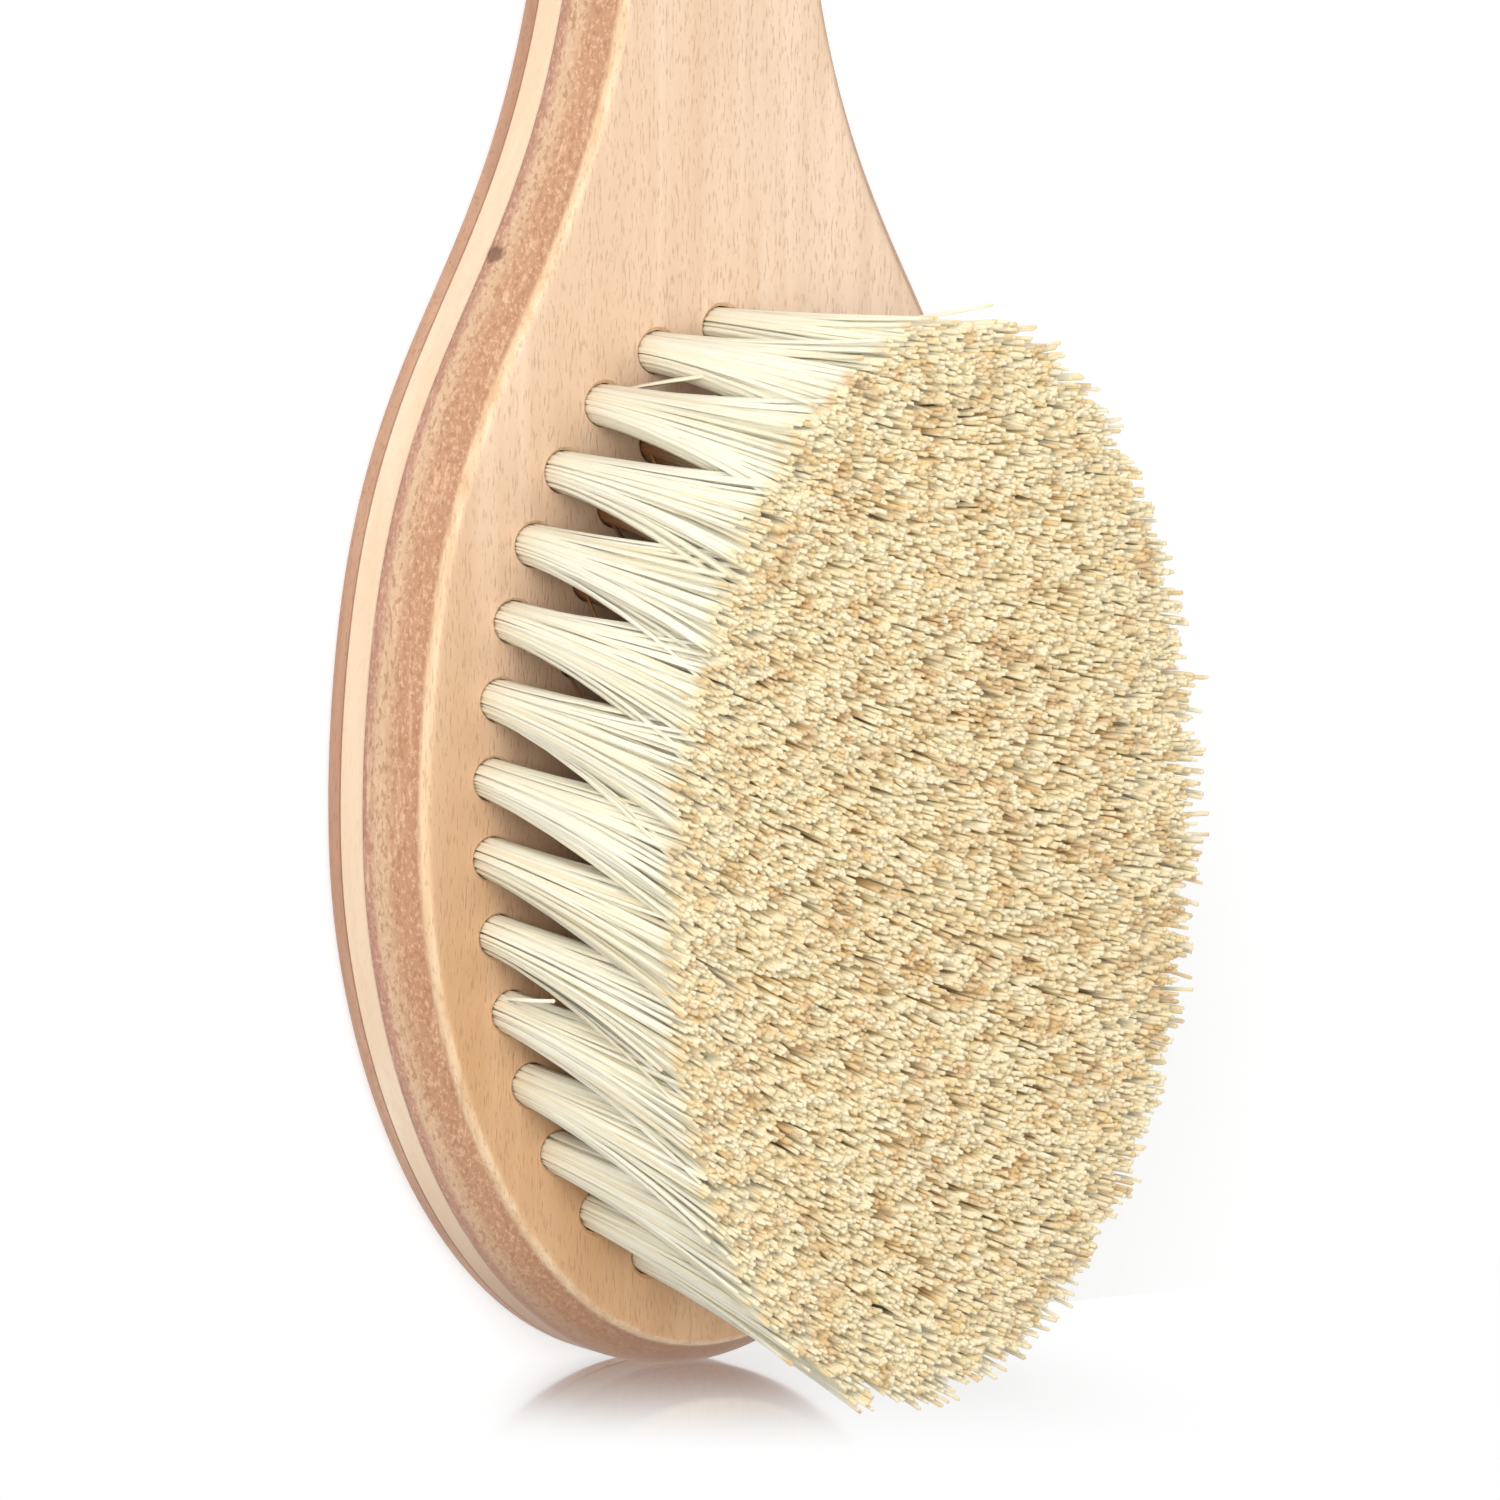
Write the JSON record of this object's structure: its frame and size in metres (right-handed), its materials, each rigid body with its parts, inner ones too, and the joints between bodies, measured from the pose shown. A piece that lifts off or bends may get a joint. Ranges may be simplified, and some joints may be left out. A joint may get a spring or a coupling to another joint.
{
  "type": "beard brush",
  "caption": "Beard brush with a flat oval head of laminated wood, a waisted handle in one piece with it, and rings of natural fibre tufts drawn into bored holes.",
  "frame": {"origin": "centre of the bounding box's bottom: on the flat back of the wood, half way along the brush and half way across it", "axes": "+Z out of the bristle face, +X along the brush towards the end of the handle, +Y across it; the brush lies on its flat back"},
  "size_m": [0.186, 0.0506, 0.0387],
  "materials": {
    "brown_wood": "satin, pinkish-brown beech with fine streaks along the grain and speckled end grain",
    "pale_wood": "satin, pale cream ply",
    "face_wood": "satin, tan beech with short dark flecks along the grain",
    "fibre": "cream natural fibre, golden at the cut tips",
    "wire": "plain drawn wire"
  },
  "bodies": {
    "root": {"back_ply": "brown_wood", "pale_ply": "pale_wood", "face_ply": "face_wood", "outer_tuft_01": "fibre", "outer_tuft_02": "fibre", "outer_tuft_03": "fibre", "outer_tuft_04": "fibre", "outer_tuft_05": "fibre", "outer_tuft_06": "fibre", "outer_tuft_07": "fibre", "outer_tuft_08": "fibre", "outer_tuft_09": "fibre", "outer_tuft_10": "fibre", "outer_tuft_11": "fibre", "outer_tuft_12": "fibre", "outer_tuft_13": "fibre", "outer_tuft_14": "fibre", "outer_tuft_15": "fibre", "outer_tuft_16": "fibre", "outer_tuft_17": "fibre", "outer_tuft_18": "fibre", "outer_tuft_19": "fibre", "outer_tuft_20": "fibre", "outer_tuft_21": "fibre", "outer_tuft_22": "fibre", "outer_tuft_23": "fibre", "outer_tuft_24": "fibre", "outer_tuft_25": "fibre", "outer_tuft_26": "fibre", "outer_tuft_27": "fibre", "outer_tuft_28": "fibre", "outer_tuft_29": "fibre", "outer_tuft_30": "fibre", "middle_tuft_pair_01": "fibre", "middle_tuft_pair_02": "fibre", "middle_tuft_pair_03": "fibre", "middle_tuft_pair_04": "fibre", "middle_tuft_pair_05": "fibre", "middle_tuft_pair_06": "fibre", "middle_tuft_pair_07": "fibre", "middle_tuft_pair_08": "fibre", "middle_tuft_pair_09": "fibre", "middle_tuft_pair_10": "fibre", "middle_tuft_pair_11": "fibre", "middle_tuft_pair_12": "fibre", "inner_tuft_pair_01": "fibre", "inner_tuft_pair_02": "fibre", "inner_tuft_pair_03": "fibre", "inner_tuft_pair_04": "fibre", "inner_tuft_pair_05": "fibre", "inner_tuft_pair_06": "fibre", "inner_tuft_pair_07": "fibre", "inner_tuft_pair_08": "fibre", "centre_tuft_pair_01": "fibre", "centre_tuft_pair_02": "fibre", "centre_tuft_pair_03": "fibre", "outer_wire": "wire", "middle_wire": "wire", "inner_wire": "wire", "centre_wire": "wire"}
  },
  "joints": []
}
